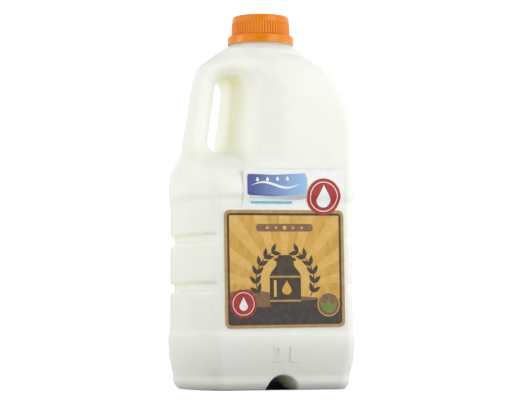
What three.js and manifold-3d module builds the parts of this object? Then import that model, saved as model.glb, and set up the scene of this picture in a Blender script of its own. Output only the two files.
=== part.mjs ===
// Two-litre milk jug: blow-moulded body with a side handle, screw cap, tamper band and front label.
// Millimetres, +Z up, front of the jug toward -Y, handle toward -X, origin under the neck on the floor.
import * as THREE from 'three';
import { mergeVertices } from 'three/addons/utils/BufferGeometryUtils.js';
import Module from 'manifold-3d';

// Body plan: flat front and back, bulged sides
const HALF_DEPTH = 44.3;
const CORNER_X = 52.0;
const SIDE_BULGE = 9.4;
const CORNER_SHARPNESS = 34;
const BUMPER_PROUD = 1.8;

// Body heights
const FOOT_HEIGHT = 8.4;
const FOOT_INSET = 4.5;
const CHAMFER_HEIGHT = 4.3;
const CHAMFER_INSET = 2.3;
const BUMPER_CURVE_TOP = 24.0;
const LOWER_STEP = 40.0;
const LOWER_STEP_HALF = 2.0;
const UPPER_STEP = 132.2;
const UPPER_STEP_HALF = 3.0;

// Grip grooves round the two sides
const GROOVE_HEIGHTS = [70.7, 104.0];
const GROOVE_HALF = 3.4;
const GROOVE_LIP = 0.8;
const GROOVE_DEPTH = 3.4;
const GROOVE_END_X = 46.0;

// Shoulder dome, collar and neck
const DOME_RADIUS = 67.3;
const DOME_CENTRE_Z = 173.9;
const TAPER_SLOPE = 0.25;
const TAPER_FROM_Z = 151.0;
const TAPER_FULL_Z = 161.0;
const COLLAR_TOP_Z = 242.0;
const COLLAR_TOP_R = 21.9;
const COLLAR_OUTER_R = 30.9;
const COLLAR_SLOPE = 0.66;
const NECK_RADIUS = 19.9;
const NECK_TOP_Z = 260.2;
const BEAD_RADIUS = 22.2;
const BEAD_TOP_Z = 248.4;

// Handle side: flare above the bumper, finger gap and grip
const FLARE_X = -63.6;
const FLARE_Z = 149.4;
const FLARE_SLOPE = 0.5;
const GAP_FLOOR_Z = 168.0;
const GAP_FLOOR_SLOPE_Y = 0.33;
const GAP_FLOOR_SLOPE_X = 0.08;
const GAP_CEILING_Z = 221.5;
const GAP_CEILING_FILLET = 11.0;
const WALL_TOP_Z = 209.1;
const WALL_LOW_Z = 165.8;
const WALL_MID_TOP_X = -21.6;
const WALL_MID_LOW_X = -25.0;
const WALL_EDGE_TOP_X = -13.1;
const WALL_EDGE_LOW_X = -20.6;
const WALL_EDGE_Y = 42.3;
const GRIP_HALF_WIDTH = 7.6;
const GRIP_HALF_DEPTH = 12.2;
const GRIP_FOOT_X = -53.4;
const GRIP_FOOT_Z = 153.0;
const GRIP_LEAN = 0.168;
const GRIP_BEND_Z = 211.0;
const GRIP_BEND_RADIUS = 17.8;
const GRIP_BEND_TURN = 46.5;
const GRIP_RUN_IN = 17.0;

// Base: raised middle and an arched channel from front to back
const PUSH_UP = 5.0;
const ARCH_HALF = 12.4;
const ARCH_HEIGHT = 11.0;

// Recess for the label tab, front and back
const TAB_RECESS_LEFT = -32.6;
const TAB_RECESS_RIGHT = 46.0;
const TAB_RECESS_TOP = 153.0;

// Cap and tamper band
const CAP_BOTTOM_Z = 249.4;
const CAP_RIB_TOP_Z = 258.4;
const CAP_TOP_Z = 263.0;
const CAP_RADIUS = 21.4;
const CAP_RIB_DEPTH = 0.6;
const CAP_RIBS = 64;
const CAP_TOP_ROUND = 1.5;
const CAP_BORE = 20.2;
const CAP_BORE_TOP_Z = 260.6;
const BAND_BOTTOM_Z = 242.1;
const BAND_TOP_Z = 249.1;
const BAND_RADIUS = 24.2;
const BAND_BORE = 22.5;
const BAND_CHAMFER = 0.7;

// Label: main panel with a tab rising from its right part
const LABEL_THICKNESS = 0.4;
const LABEL_GAP = 0.3;
const LABEL_LEFT = -45.6;
const LABEL_RIGHT = 44.6;
const LABEL_BOTTOM = 43.0;
const LABEL_SHOULDER = 124.6;
const LABEL_TAB_LEFT = -30.2;
const LABEL_TOP = 151.4;
const LABEL_CORNER = 3.6;
const LABEL_TILT = 0.017;

const wasm = await Module();
wasm.setup();

function clamp01(t) {
  return Math.min(Math.max(t, 0), 1);
}

function ease(t) {
  const u = clamp01(t);
  return u * u * (3 - 2 * u);
}

function lerp(a, b, t) {
  return a + (b - a) * t;
}

// Several limits merged into one radius with rounded meeting lines
function softLeast(limits) {
  let total = 0;
  for (const limit of limits) {
    total += Math.pow(limit, -CORNER_SHARPNESS);
  }
  return Math.pow(total, -1 / CORNER_SHARPNESS);
}

// How far the wall stands out from the label panel at height z
function standOut(z) {
  const lower = 1 - ease((z - LOWER_STEP + LOWER_STEP_HALF) / (2 * LOWER_STEP_HALF));
  const upper = ease((z - UPPER_STEP + UPPER_STEP_HALF) / (2 * UPPER_STEP_HALF));
  const tuck = clamp01((BUMPER_CURVE_TOP - z) / (BUMPER_CURVE_TOP - FOOT_HEIGHT));
  const chamfer = clamp01(1 - z / CHAMFER_HEIGHT);
  return BUMPER_PROUD * (lower + upper) - FOOT_INSET * Math.pow(tuck, 1.4) - CHAMFER_INSET * chamfer;
}

// Radius of the plan outline, grown by an offset, in direction (c, s)
function planRadius(c, s, offset) {
  const sideRadius = (HALF_DEPTH ** 2 + SIDE_BULGE ** 2) / (2 * SIDE_BULGE);
  const shift = sideRadius - CORNER_X - SIDE_BULGE;
  const side = -shift * Math.abs(c) + Math.sqrt((sideRadius + offset) ** 2 - (shift * s) ** 2);
  const front = (HALF_DEPTH + offset) / Math.max(Math.abs(s), 1e-6);
  return softLeast([side, front]);
}

function domeRadius(z) {
  const rise = Math.max(z - DOME_CENTRE_Z, 0);
  return Math.sqrt(Math.max(DOME_RADIUS ** 2 - rise ** 2, 1));
}

function grooveDepth(z) {
  let depth = 0;
  for (const height of GROOVE_HEIGHTS) {
    const inside = (GROOVE_HALF - Math.abs(z - height)) / GROOVE_LIP;
    depth = Math.max(depth, GROOVE_DEPTH * clamp01(inside));
  }
  return depth;
}

// Radius of the wall behind the handle, with a fillet where it meets the ceiling
function wallRadius(angle, z) {
  const t = (WALL_TOP_Z - z) / (WALL_TOP_Z - WALL_LOW_Z);
  const middle = lerp(WALL_MID_TOP_X, WALL_MID_LOW_X, t);
  const edge = lerp(WALL_EDGE_TOP_X, WALL_EDGE_LOW_X, t);
  const spread = (edge - middle) / WALL_EDGE_Y;
  const wall = -middle / (Math.abs(Math.cos(angle)) + spread * Math.abs(Math.sin(angle)));
  const intoFillet = clamp01((z - GAP_CEILING_Z + GAP_CEILING_FILLET) / GAP_CEILING_FILLET);
  return wall + GAP_CEILING_FILLET * (1 - Math.sqrt(1 - intoFillet ** 2));
}

// Limits on the radius set by the plan outline, the dome, the tapered left half and the flare
function outerLimits(angle, z) {
  const c = Math.cos(angle);
  const s = Math.sin(angle);
  const offset = standOut(z);
  let plan = planRadius(c, s, offset);
  if (plan * Math.abs(c) > GROOVE_END_X) {
    plan = planRadius(c, s, offset - grooveDepth(z));
  }
  const limits = [plan, domeRadius(z)];
  if (c < -1e-6) {
    const fade = ease((z - TAPER_FROM_Z) / (TAPER_FULL_Z - TAPER_FROM_Z));
    const frontLine = Math.min(HALF_DEPTH + BUMPER_PROUD, domeRadius(z));
    limits.push(frontLine / (Math.abs(s) - TAPER_SLOPE * fade * c + 1e-6));
    if (z > FLARE_Z && z < GAP_FLOOR_Z) {
      limits.push((FLARE_X + FLARE_SLOPE * (z - FLARE_Z)) / c);
    }
  }
  return limits;
}

// Radius of the jug body in direction angle at height z, away from the floor of the finger gap
function bodyRadius(angle, z) {
  const limits = outerLimits(angle, z);
  if (Math.cos(angle) < -1e-6 && z >= GAP_FLOOR_Z && z < GAP_CEILING_Z) {
    limits.push(wallRadius(angle, z));
  }
  const radius = softLeast(limits);
  const collar = Math.min(COLLAR_TOP_R + (COLLAR_TOP_Z - z) / COLLAR_SLOPE, COLLAR_OUTER_R);
  return z >= GAP_CEILING_Z ? Math.max(radius, collar) : radius;
}

// Height of the sloping floor of the finger gap
function floorHeight(angle, radius) {
  const slope = GAP_FLOOR_SLOPE_Y * Math.abs(Math.sin(angle)) + GAP_FLOOR_SLOPE_X * Math.abs(Math.cos(angle));
  return GAP_FLOOR_Z - radius * slope;
}

// Point where a wall of the given radius meets the floor of the finger gap
function meetFloor(angle, radiusAt) {
  let z = GAP_FLOOR_Z - GAP_FLOOR_SLOPE_Y * HALF_DEPTH;
  for (let round = 0; round < 6; round += 1) {
    z = floorHeight(angle, radiusAt(angle, z));
  }
  return { radius: radiusAt(angle, z), z };
}

// Outer lip of the floor; the right half of the body has no floor and keeps one height
function lipPoint(angle) {
  const outer = (direction, z) => softLeast(outerLimits(direction, z));
  if (Math.cos(angle) < -1e-6) {
    return meetFloor(angle, outer);
  }
  const { z } = meetFloor(Math.PI / 2, outer);
  return { radius: outer(angle, z), z };
}

// Root of the floor against the wall behind the handle
function rootPoint(angle) {
  const lip = lipPoint(angle);
  const inner = (direction, z) => softLeast([...outerLimits(direction, z), wallRadius(direction, z)]);
  if (Math.cos(angle) < -1e-6) {
    const root = meetFloor(angle, inner);
    if (root.z > lip.z + 1) {
      return root;
    }
  }
  return { radius: lip.radius, z: lip.z + 1 };
}

// Even steps from a to b, with b left out
function steps(a, b, count) {
  return Array.from({ length: count }, (_, i) => lerp(a, b, i / count));
}

// Directions round the body, closer together at the corners and on the handle side
function bodyAngles() {
  const corner = Math.atan2(HALF_DEPTH + BUMPER_PROUD, CORNER_X);
  const near = 0.12;
  const half = [
    ...steps(0, corner - near, 5),
    ...steps(corner - near, corner + near, 5),
    ...steps(corner + near, Math.PI / 2, 4),
    ...steps(Math.PI / 2, Math.PI - corner - near, 10),
    ...steps(Math.PI - corner - near, Math.PI - corner + near, 5),
    ...steps(Math.PI - corner + near, Math.PI, 7),
    Math.PI,
  ];
  const mirrored = half.slice(1, -1).reverse().map((angle) => 2 * Math.PI - angle);
  return [...half, ...mirrored];
}

// Heights of the level rings below the finger gap, closer together where the wall turns
function lowerHeights() {
  const grooves = GROOVE_HEIGHTS.flatMap((height) => [
    height - GROOVE_HALF - 0.2,
    height - GROOVE_HALF + GROOVE_LIP,
    height + GROOVE_HALF - GROOVE_LIP,
    height + GROOVE_HALF + 0.2,
  ]);
  return [
    0,
    CHAMFER_HEIGHT,
    ...steps(FOOT_HEIGHT, BUMPER_CURVE_TOP, 5),
    BUMPER_CURVE_TOP,
    ...steps(LOWER_STEP - LOWER_STEP_HALF, LOWER_STEP + LOWER_STEP_HALF, 3),
    LOWER_STEP + LOWER_STEP_HALF,
    ...grooves,
    ...steps(UPPER_STEP - UPPER_STEP_HALF, UPPER_STEP + UPPER_STEP_HALF, 3),
    UPPER_STEP + UPPER_STEP_HALF,
    FLARE_Z - 2.5,
  ];
}

// Heights of the level rings from the finger gap up to the collar
function upperHeights() {
  const filletFrom = GAP_CEILING_Z - GAP_CEILING_FILLET;
  return [
    ...steps(GAP_FLOOR_Z, filletFrom, 5),
    ...steps(filletFrom, GAP_CEILING_Z - 0.2, 5),
    GAP_CEILING_Z - 0.2,
    ...steps(GAP_CEILING_Z, COLLAR_TOP_Z - 6, 7),
    COLLAR_TOP_Z - 6,
    COLLAR_TOP_Z,
  ];
}

// Closed skin through rings of points, with a fan over each end
function skin(rings, bottomPoint, topPoint) {
  const count = rings[0].length;
  const points = [...rings.flat(), bottomPoint, topPoint];
  const bottom = rings.length * count;
  const top = bottom + 1;
  const index = [];
  for (let i = 0; i < count; i += 1) {
    const j = (i + 1) % count;
    index.push(bottom, j, i);
    for (let ring = 0; ring + 1 < rings.length; ring += 1) {
      const low = ring * count;
      const high = low + count;
      index.push(low + i, low + j, high + j);
      index.push(low + i, high + j, high + i);
    }
    const last = (rings.length - 1) * count;
    index.push(last + i, last + j, top);
  }
  const geometry = new THREE.BufferGeometry();
  geometry.setAttribute('position', new THREE.Float32BufferAttribute(points.flat(), 3));
  geometry.setIndex(index);
  return geometry;
}

// Ring of points, each given by a radius and a height
function ring(angles, pointAt) {
  return angles.map((angle) => {
    const { radius, z } = pointAt(angle);
    return [radius * Math.cos(angle), radius * Math.sin(angle), z];
  });
}

function levelRing(angles, z, radiusAt) {
  return ring(angles, (angle) => ({ radius: radiusAt(angle), z }));
}

function bodyGeometry() {
  const angles = bodyAngles();
  const underside = (share, z) => levelRing(angles, z, (angle) => share * bodyRadius(angle, 0));
  const wall = (z) => levelRing(angles, z, (angle) => bodyRadius(angle, z));
  const round = (z, radius) => levelRing(angles, z, () => radius);
  const rings = [
    underside(0.45, PUSH_UP),
    underside(0.7, PUSH_UP * 0.7),
    underside(0.86, 0),
    ...lowerHeights().map(wall),
    ring(angles, lipPoint),
    ring(angles, rootPoint),
    ...upperHeights().map(wall),
    round(COLLAR_TOP_Z + 0.2, BEAD_RADIUS - 0.6),
    round(COLLAR_TOP_Z + 1.2, BEAD_RADIUS),
    round(BEAD_TOP_Z, BEAD_RADIUS),
    round(BEAD_TOP_Z + 0.3, NECK_RADIUS),
    round(NECK_TOP_Z, NECK_RADIUS),
  ];
  return skin(rings, [0, 0, PUSH_UP], [0, 0, NECK_TOP_Z]);
}

// Centre line of the grip in the XZ plane: leaning run, bend, short run into the shoulder
function gripPath() {
  const lean = Math.atan(GRIP_LEAN);
  const bendX = GRIP_FOOT_X + GRIP_LEAN * (GRIP_BEND_Z - GRIP_FOOT_Z);
  const centre = [
    bendX + GRIP_BEND_RADIUS * Math.cos(lean),
    GRIP_BEND_Z - GRIP_BEND_RADIUS * Math.sin(lean),
  ];
  const path = [];
  for (const t of steps(0, 1, 4)) {
    const z = lerp(GRIP_FOOT_Z, GRIP_BEND_Z, t);
    path.push({ x: GRIP_FOOT_X + GRIP_LEAN * (z - GRIP_FOOT_Z), z, lean });
  }
  const turn = THREE.MathUtils.degToRad(GRIP_BEND_TURN);
  for (const t of [...steps(0, 1, 6), 1]) {
    const now = lean + turn * t;
    path.push({
      x: centre[0] - GRIP_BEND_RADIUS * Math.cos(now),
      z: centre[1] + GRIP_BEND_RADIUS * Math.sin(now),
      lean: now,
    });
  }
  const last = path[path.length - 1];
  path.push({
    x: last.x + GRIP_RUN_IN * Math.sin(last.lean),
    z: last.z + GRIP_RUN_IN * Math.cos(last.lean),
    lean: last.lean,
  });
  return path;
}

function gripGeometry() {
  const sides = steps(0, 2 * Math.PI, 20);
  const path = gripPath();
  const rings = path.map(({ x, z, lean }) => sides.map((angle) => {
    const across = GRIP_HALF_WIDTH * Math.cos(angle);
    const deep = GRIP_HALF_DEPTH * Math.sin(angle);
    return [x + across * Math.cos(lean), deep, z - across * Math.sin(lean)];
  }));
  const first = path[0];
  const last = path[path.length - 1];
  return skin(rings, [first.x, 0, first.z], [last.x, 0, last.z]);
}

function toManifold(geometry) {
  const bare = geometry.clone();
  bare.deleteAttribute('normal');
  bare.deleteAttribute('uv');
  const welded = mergeVertices(bare, 1e-4);
  return new wasm.Manifold(new wasm.Mesh({
    numProp: 3,
    vertProperties: new Float32Array(welded.attributes.position.array),
    triVerts: new Uint32Array(welded.index.array),
  }));
}

function fromManifold(solid) {
  const mesh = solid.getMesh();
  const geometry = new THREE.BufferGeometry();
  geometry.setAttribute('position', new THREE.Float32BufferAttribute(mesh.vertProperties, 3));
  geometry.setIndex(Array.from(mesh.triVerts));
  geometry.computeVertexNormals();
  return geometry;
}

// Block that sinks the label tab area of the front (side -1) or back (side +1) to panel level
function tabRecess(side) {
  const depth = 10;
  const bottom = UPPER_STEP - UPPER_STEP_HALF - 2;
  const block = new THREE.BoxGeometry(TAB_RECESS_RIGHT - TAB_RECESS_LEFT, depth, TAB_RECESS_TOP - bottom);
  block.translate(
    (TAB_RECESS_LEFT + TAB_RECESS_RIGHT) / 2,
    side * (HALF_DEPTH + depth / 2),
    (TAB_RECESS_TOP + bottom) / 2,
  );
  return block;
}

function archChannel() {
  const channel = new THREE.CylinderGeometry(1, 1, 3 * HALF_DEPTH, 28);
  channel.scale(ARCH_HALF, 1, ARCH_HEIGHT);
  return channel;
}

function jugGeometry() {
  let solid = toManifold(bodyGeometry()).add(toManifold(gripGeometry()));
  for (const side of [-1, 1]) {
    solid = solid.subtract(toManifold(tabRecess(side)));
  }
  return fromManifold(solid.subtract(toManifold(archChannel())));
}

// Cap: ribbed skirt, rounded top edge, bore that clears the neck
function capGeometry() {
  const angles = steps(0, 2 * Math.PI, CAP_RIBS * 4);
  const ribbed = (angle) => {
    const wave = Math.cos(angle * CAP_RIBS) > -0.1 ? 0 : CAP_RIB_DEPTH;
    return CAP_RADIUS - wave;
  };
  const smooth = CAP_RADIUS - CAP_RIB_DEPTH;
  const outside = [
    levelRing(angles, CAP_BOTTOM_Z, ribbed),
    levelRing(angles, CAP_RIB_TOP_Z, ribbed),
    levelRing(angles, CAP_RIB_TOP_Z + 0.4, () => smooth),
  ];
  for (const t of [0, 0.5, 1]) {
    const turn = t * Math.PI / 2;
    const radius = smooth - CAP_TOP_ROUND * (1 - Math.cos(turn));
    outside.push(levelRing(angles, CAP_TOP_Z - CAP_TOP_ROUND * (1 - Math.sin(turn)), () => radius));
  }
  const body = skin(outside, [0, 0, CAP_BOTTOM_Z], [0, 0, CAP_TOP_Z]);
  const bore = new THREE.CylinderGeometry(CAP_BORE, CAP_BORE, CAP_BORE_TOP_Z - CAP_BOTTOM_Z + 5, 64);
  bore.rotateX(Math.PI / 2);
  bore.translate(0, 0, (CAP_BORE_TOP_Z + CAP_BOTTOM_Z - 5) / 2);
  return fromManifold(toManifold(body).subtract(toManifold(bore)));
}

function bandGeometry() {
  const profile = [
    [BAND_BORE, BAND_BOTTOM_Z],
    [BAND_RADIUS - BAND_CHAMFER, BAND_BOTTOM_Z],
    [BAND_RADIUS, BAND_BOTTOM_Z + BAND_CHAMFER],
    [BAND_RADIUS, BAND_TOP_Z - BAND_CHAMFER],
    [BAND_RADIUS - BAND_CHAMFER, BAND_TOP_Z],
    [BAND_BORE, BAND_TOP_Z],
    [BAND_BORE, BAND_BOTTOM_Z],
  ].map(([radius, z]) => new THREE.Vector2(radius, z));
  const band = new THREE.LatheGeometry(profile, 72);
  band.rotateX(Math.PI / 2);
  return fromManifold(toManifold(band));
}

// Rounded outline through corner points, with one inner corner where the tab meets the panel
function labelShape() {
  const corners = [
    [LABEL_LEFT, LABEL_BOTTOM],
    [LABEL_RIGHT, LABEL_BOTTOM],
    [LABEL_RIGHT, LABEL_TOP],
    [LABEL_TAB_LEFT, LABEL_TOP],
    [LABEL_TAB_LEFT, LABEL_SHOULDER],
    [LABEL_LEFT, LABEL_SHOULDER],
  ].map(([x, z]) => new THREE.Vector2(x, z));
  const shape = new THREE.Shape();
  corners.forEach((corner, i) => {
    const before = corners[(i + corners.length - 1) % corners.length];
    const after = corners[(i + 1) % corners.length];
    const start = corner.clone().add(before.clone().sub(corner).setLength(LABEL_CORNER));
    const end = corner.clone().add(after.clone().sub(corner).setLength(LABEL_CORNER));
    if (i === 0) {
      shape.moveTo(start.x, start.y);
    } else {
      shape.lineTo(start.x, start.y);
    }
    shape.quadraticCurveTo(corner.x, corner.y, end.x, end.y);
  });
  shape.closePath();
  return shape;
}

function labelGeometry() {
  const plate = new THREE.ExtrudeGeometry(labelShape(), {
    depth: LABEL_THICKNESS,
    bevelEnabled: false,
    curveSegments: 6,
  });
  const middle = (LABEL_BOTTOM + LABEL_SHOULDER) / 2;
  plate.translate(0, -middle, 0);
  plate.rotateZ(LABEL_TILT);
  plate.translate(0, middle, 0);
  plate.rotateX(Math.PI / 2);
  plate.translate(0, -HALF_DEPTH - LABEL_GAP, 0);
  return fromManifold(toManifold(plate));
}

function piece(name, geometry, color, roughness) {
  const material = new THREE.MeshStandardMaterial({ color, roughness, metalness: 0 });
  const mesh = new THREE.Mesh(geometry, material);
  mesh.name = name;
  return mesh;
}

const jugAssembly = new THREE.Group();
jugAssembly.add(piece('jug', jugGeometry(), 0xeeefe9, 0.45));
jugAssembly.add(piece('cap', capGeometry(), 0xe07a1c, 0.4));
jugAssembly.add(piece('tamper_band', bandGeometry(), 0xe07a1c, 0.4));
jugAssembly.add(piece('label', labelGeometry(), 0xcda057, 0.55));

export default jugAssembly;
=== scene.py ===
# Looks of the two-litre milk jug: moulded body, cap, tamper band, label, studio and camera
import contextlib
import itertools
import math

import bmesh
import bpy
import numpy as np
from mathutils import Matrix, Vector


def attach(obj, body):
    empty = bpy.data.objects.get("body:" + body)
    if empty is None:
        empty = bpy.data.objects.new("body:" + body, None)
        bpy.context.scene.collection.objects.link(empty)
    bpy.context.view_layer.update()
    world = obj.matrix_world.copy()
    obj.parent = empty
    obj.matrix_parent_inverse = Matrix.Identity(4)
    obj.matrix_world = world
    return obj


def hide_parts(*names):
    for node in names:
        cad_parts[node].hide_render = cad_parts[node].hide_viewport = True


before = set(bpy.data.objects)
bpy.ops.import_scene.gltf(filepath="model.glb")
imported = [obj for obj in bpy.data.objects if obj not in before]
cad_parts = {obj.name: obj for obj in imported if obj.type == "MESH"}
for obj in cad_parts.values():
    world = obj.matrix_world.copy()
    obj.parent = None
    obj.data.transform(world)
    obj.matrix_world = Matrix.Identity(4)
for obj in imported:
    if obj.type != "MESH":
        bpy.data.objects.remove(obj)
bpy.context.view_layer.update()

# Sizes are millimetres, as in the solids, unless metres are named, and become metres when a mesh is made
MM = 0.001

# Grid on which the jug's skin is meshed: its cell, and the box that it fills
CELL = 1.17
SKIN_BOX_HALF = (66.0, 49.0)
SKIN_BOX_MARGIN = 3.0

# Numbers that stand for far inside and far outside a solid
FAR_INSIDE = -20.0
FAR_OUTSIDE = 1000.0

# Shares that turn a height or width to a slanted limit into a distance from it
TAPER_SHARE = 0.96
FLARE_SHARE = 0.89
GAP_FLOOR_SHARE = 0.85

# Edges that turn by more than these degrees stay sharp
SHARP_PLASTIC = 40
SHARP_FILM = 35
SHARP_MARK = 50

# Body plan: flat front and back, bulged sides
HALF_DEPTH = 44.3
CORNER_X = 52.0
SIDE_BULGE = 9.4
SIDE_RADIUS = (HALF_DEPTH ** 2 + SIDE_BULGE ** 2) / (2 * SIDE_BULGE)
FACET_FRONT_X = 48.5
FACET_TURN = math.radians(40.5)
FACET_ROUND = 1.6
BUMPER_PROUD = 1.8

# Body heights, and how the wall comes in towards the foot
FOOT_HEIGHT = 9.8
FOOT_INSET = 4.2
FOOT_EDGE_SOFTNESS = 1.1
FOOT_ROLL_HEIGHT = 6.6
FOOT_ROLL_INSET = 3.7
FOOT_ROLL_POWER = 2.0
FACET_TUCK = 1.4
BUMPER_CURVE_TOP = 32.0
BUMPER_CURVE_POWER = 1.4
LOWER_STEP_Z = (36.0, 41.6)
UPPER_STEP_Z = (129.2, 135.2)

# Grip grooves round the two sides
GROOVE_HEIGHTS = (70.2, 103.5)
GROOVE_HALF = 3.0
GROOVE_DEPTH = 3.4
GROOVE_FLOOR_ROUND = 1.0
GROOVE_END_X = 48.4
GROOVE_EDGE_ROUND = 2.0
GROOVE_END_ROUND = 3.0

# Shoulder dome, collar and neck
DOME_RADIUS = 67.3
DOME_CENTRE_X = 0.8
DOME_CENTRE_Z = 173.9
DOME_EDGE_FRONT = 12.0
DOME_EDGE_FRONT_X = 25.0
DOME_EDGE_SIDE = 3.0
DOME_EDGE_SIDE_X = 50.0
TAPER_SLOPE = 0.25
TAPER_FROM_Z = 151.0
TAPER_FULL_Z = 161.0
CREASE_SOFTNESS = 3.0
COLLAR_TOP_Z = 242.0
COLLAR_TOP_R = 21.9
COLLAR_OUTER_R = 30.9
COLLAR_SLOPE = 0.66
COLLAR_FILLET = 0.8
COLLAR_MELT_MIDDLE = 2.0
COLLAR_MELT_SIDE = 10.0
COLLAR_MELT_Y = (6.0, 22.0)
COLLAR_MELT_X = (14.0, -12.0)
NECK_FROM_Z = 222.0
NECK_RADIUS = 19.3
NECK_TOP_Z = 260.2
LEDGE_RADIUS = 22.9
LEDGE_TOP_Z = 243.1
LEDGE_FILLET = 0.6
BEAD_RADIUS = 22.2
BEAD_TOP_Z = 248.4

# Handle side: flare above the bumper, finger gap and grip
FLARE_X = -63.6
FLARE_Z = 149.4
FLARE_SLOPE = 0.5
FLARE_TOP_Z = 195.0
FLARE_ROUND = 8.0
GAP_FLOOR_Z = 168.0
GAP_FLOOR_BOW = 0.0088
GAP_FLOOR_SLOPE_X = 0.08
GAP_CEILING_Z = 221.5
GAP_CEILING_FILLET = 11.0
GAP_CEILING_SWEEP = 5.0
GAP_CEILING_RISE = 3.0
GAP_CEILING_SWEEP_Y = (-8.0, -32.0)
GAP_FLOOR_FILLET = 4.5
GAP_EDGE_ROUND = 7.0
WALL_TOP_Z = 209.1
WALL_LOW_Z = 165.8
WALL_MID_TOP_X = -21.6
WALL_MID_LOW_X = -25.0
WALL_EDGE_TOP_X = -16.3
WALL_EDGE_LOW_X = -22.6
WALL_EDGE_Y = 42.3
GRIP_HALF_WIDTH = 7.6
GRIP_HALF_DEPTH = 12.2
GRIP_SWELL = 0.9
GRIP_TAPER = 1.3
GRIP_TAPER_RUN = 16.0
GRIP_FOOT_X = -52.5
GRIP_FOOT_Z = 153.0
GRIP_LEAN = 0.1524
GRIP_BEND_Z = 211.0
GRIP_BEND_RADIUS = 17.8
GRIP_BEND_TURN = 46.5
GRIP_RUN_IN = 17.0
GRIP_BLEND = 8.0

# Base: raised middle and an arched channel from front to back
PUSH_UP = 5.0
PUSH_UP_RIM = 16.0
PUSH_UP_RAMP = 22.0
PUSH_UP_ROUND = 0.8
ARCH_HALF = 11.4
ARCH_HEIGHT = 10.2
ARCH_ROUND = 1.2

# How deep a point sits in a recess, felt over these distances, and how much painted shade, a yellowish tint,
# shows there by its slope, most on faces that look down
RECESS_REACHES = (6.0, 12.0, 24.0)
RECESS_MOST = 1.2
RECESS_FROM = 0.08
RECESS_RUN = 0.6
PAINTED_SHADE_LEVEL = 0.5
PAINTED_SHADE_TURN = 0.9
PAINTED_SHADE_LEAST = 0.35

# Cap: its drafted skirt ends a little below the top of its ribs
CAP_BOTTOM_Z = 249.0
CAP_RIB_TOP_Z = 258.4
CAP_TOP_Z = 263.0
CAP_RADIUS = 20.8
CAP_DRAFT = 0.3
CAP_RIB_DEPTH = 0.6
CAP_RIBS = 64
CAP_POINTS_PER_RIB = 10
CAP_GROOVE_POWER = 0.7
CAP_FOOT_ROUND = 0.35
CAP_SKIRT_END = 0.65
CAP_TOP_ROUND = 1.5
CAP_BORE = 19.6
CAP_BORE_TOP_Z = 260.6

# Where the ribs run out: how far in, how far above their top, and the share of the rib that is left
CAP_RIB_ENDS = ((0.4, -0.3, 0.9), (0.55, 0.1, 0.2), (0.6, 0.4, 0), (0.7, 1.6, 0))

# Dish in the top of the cap: radii and depths
CAP_DISH = ((16.6, 0.0), (16.2, 0.08), (15.8, 0.35), (15.2, 0.4), (8.0, 0.4), (1.2, 0.4))

# Tamper band under the cap, with a thin lip and bridges up to it: heights without Z are from its own ends
BAND_BOTTOM_Z = 242.5
BAND_TOP_Z = 248.8
BAND_RADIUS = 23.45
BAND_FOOT_WIDE = 0.3
BAND_FOOT_TALL = 1.2
BAND_FOOT_BORE = 23.0
BAND_FOOT_BORE_TOP = 0.9
BAND_BORE = 22.5
BAND_BORE_FROM = 1.4
BAND_SIDE_END = 1.6
BAND_TOP_ROUND = 1.0
BAND_POINTS = 160
BAND_LIP_BORE = 20.5
BAND_LIP = 0.5
BAND_BRIDGES = 16
BRIDGE_INSET = 0.5
BRIDGE_HALVES = (0.35, 0.5, 0.35)

# Label: main panel with a tab rising from its right part
LABEL_THICKNESS = 0.2
LABEL_LEFT = -44.6
LABEL_RIGHT = 45.0
LABEL_BOTTOM = 42.15
LABEL_SHOULDER = 124.6
LABEL_TAB_LEFT = -30.2
LABEL_TOP = 151.4
LABEL_CORNER = 3.6
LABEL_TILT = 0.017
LABEL_FRONT_Y = -HALF_DEPTH - LABEL_THICKNESS
DRAPE_Z = (127.4, 134.8)
DRAPE_CUTS = 9

# Edge of the film from its face to its back: inset, and share of the thickness
FILM_EDGE = ((0.2, 1.0), (0.0, 0.6), (0.0, 0.0))

# Main print: a tan frame, a dark line and a gold field inside each other
PRINT_LAYER = 0.012
PRINT_MARGIN = 0.35
FRAME_TOP_GAP = 0.95
FRAME_CORNER = 4.6
LINE_INSET = 2.2
LINE_CORNER = 2.8
FIELD_INSET = 3.8
FIELD_CORNER = 1.6

# Sun over the hills, measured from the bottom of the field: hills have a height, a swell and a phase
SUN_HEIGHT = 22.0
SUN_RADIUS = 22.8
SUN_EDGE_RADIUS = 24.5
RAYS = 9
RAY_ARC = (12.0, 168.0)
RAY_HALF = 4.6
RAY_LENGTH = 120.0
FAR_HILL = (19.0, 3.0, 0.1)
NEAR_HILL = (12.5, 2.2, 0.62)

# Milk churn: half widths and heights as shares of its size, with two bands, a sheen and a drop
CHURN_FOOT = 11.0
CHURN_SIZE = 35.0
CHURN_BODY = ((0.30, 0.0), (0.33, 0.03), (0.33, 0.60), (0.30, 0.66), (0.19, 0.79), (0.18, 0.88))
CHURN_LID = ((0.23, 0.89), (0.23, 0.93), (0.16, 0.95), (0.13, 1.0))
CHURN_BAND_HEIGHTS = (0.09, 0.56)
CHURN_BAND_HALF = 11.5
CHURN_BAND_TALL = 1.3
CHURN_BAND_CORNER = 0.5
SHEEN = (-8.6, -6.6, 6.5, 18.0)
SHEEN_CORNER = 0.9
CHURN_DROP = (1.0, 11.5, 3.6, 6.4)

# Wreath of two sprigs round the churn, in degrees from level
WREATH_HEIGHT = 17.5
WREATH_RADIUS = 21.5
WREATH_LEAVES = 6
WREATH_ARC = (-22.0, 63.0)
WREATH_TILTS = (-38, 34)
WREATH_LEAF = (7.2, 3.0)
STEM_ARC = (-30.0, 63.0)
STEM_HALF = 0.3
STEM_POINTS = 21

# Bar with dots at the top of the field
BAR_DROP = 8.4
BAR_HALF_WIDE = 21.0
BAR_HALF_TALL = 2.6
DOT_STEP = 6.4
DOT_RADIUS = 0.9
DOT_MIDDLE_RADIUS = 1.4
DOT_POINTS = 20

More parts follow.
